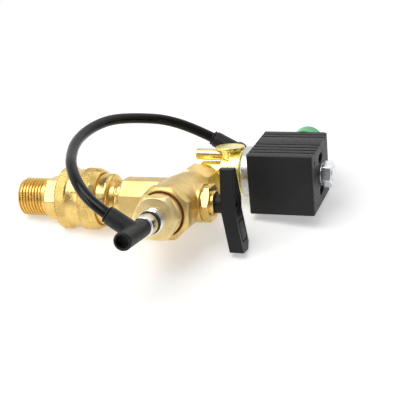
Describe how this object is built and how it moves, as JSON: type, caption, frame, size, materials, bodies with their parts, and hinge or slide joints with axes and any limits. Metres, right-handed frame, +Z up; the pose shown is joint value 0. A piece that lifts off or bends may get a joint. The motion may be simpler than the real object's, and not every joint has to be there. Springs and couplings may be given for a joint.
{
  "type": "automatic drain valve",
  "caption": "Automatic condensate drain valve: threaded quick coupler, strainer leg, ball valve with lever, black solenoid coil and a short flush hose between two push-in elbows.",
  "frame": {"origin": "centre of the end face of the inlet thread", "axes": "+X along the pipe into the valve, which is also the axis of the coupler, the ball stem and the solenoid; +Y from the strainer to the solenoid; +Z up"},
  "size_m": [0.1659, 0.1563, 0.0677],
  "materials": {
    "brass_turned": "machined, bright",
    "brass_forged": "forged and bead blasted, satin",
    "nickel": "nickel plated",
    "spring_steel": "drawn wire",
    "zinc_steel": "zinc plated",
    "iron": "zinc plated sheet",
    "stainless": "drawn, fine brushed",
    "black_nylon": "moulded, fine grain",
    "coil_black": "moulded epoxy, fine grain",
    "hose_black": "extruded, glossy",
    "ptfe": "turned",
    "rubber": "moulded",
    "fibre": "pressed fibre",
    "copper": "enamelled wire",
    "green_clear": "translucent soft plastic"
  },
  "bodies": {
    "inlet": {"inlet_nipple": "brass_turned"},
    "valve": {"coupler_body": "brass_turned", "coupler_balls": "stainless", "coupler_seal": "rubber", "sleeve_clip": "spring_steel", "coupler_spring": "spring_steel", "valve_body": "brass_forged", "front_seat": "ptfe", "rear_seat": "ptfe", "stem_packing": "ptfe", "gland_nut": "brass_turned", "strainer_screen": "stainless", "strainer_cap": "brass_turned", "cap_gasket": "fibre", "cap_stud": "nickel", "stud_seal": "rubber", "front_elbow": "black_nylon", "flush_hose": "hose_black", "rear_elbow": "black_nylon", "rear_stud": "nickel", "outlet_adaptor": "brass_turned", "adaptor_seal": "fibre", "solenoid_body": "brass_forged", "drain_spigot": "brass_turned", "flange_seal": "rubber", "armature_tube": "stainless", "fixed_core": "stainless", "plunger_spring": "spring_steel", "coil_housing": "coil_black", "coil_frame": "iron", "coil_winding": "copper", "coil_washer": "zinc_steel", "coil_nut": "zinc_steel", "terminals": "zinc_steel", "terminal_cap": "green_clear"},
    "sleeve": {"coupler_sleeve": "brass_turned"},
    "handle": {"handle": "black_nylon", "handle_screw": "zinc_steel", "stem": "brass_turned", "ball": "nickel"},
    "front_release": {"front_collet": "black_nylon"},
    "rear_release": {"rear_collet": "black_nylon"},
    "plunger": {"plunger": "stainless", "seat_disc": "rubber"}
  },
  "joints": [
    {"name": "coupler_swivel", "type": "hinge", "parent": "inlet", "child": "valve", "pos_m": [0.0335, 0, 0], "axis": [1, 0, 0], "continuous": true},
    {"name": "sleeve_slide", "type": "slide", "parent": "valve", "child": "sleeve", "axis": [1, 0, 0], "range_m": [0, 0.0042], "stiffness_N_per_m": 1500, "springref_m": -0.003, "deforming": ["coupler_spring"]},
    {"name": "handle_turn", "type": "hinge", "parent": "valve", "child": "handle", "pos_m": [0.092, 0, 0], "axis": [-1, 0, 0], "range_deg": [0, 90]},
    {"name": "front_collet_press", "type": "slide", "parent": "valve", "child": "front_release", "axis": [0.8517, 0, -0.524], "range_m": [0, 0.0007], "stiffness_N_per_m": 400, "springref_m": -0.0005},
    {"name": "rear_collet_press", "type": "slide", "parent": "valve", "child": "rear_release", "axis": [0.891, 0, -0.454], "range_m": [0, 0.0007], "stiffness_N_per_m": 400, "springref_m": -0.0005},
    {"name": "plunger_lift", "type": "slide", "parent": "valve", "child": "plunger", "axis": [1, 0, 0], "range_m": [0, 0.0014], "stiffness_N_per_m": 400, "springref_m": -0.003, "deforming": ["plunger_spring"]}
  ]
}
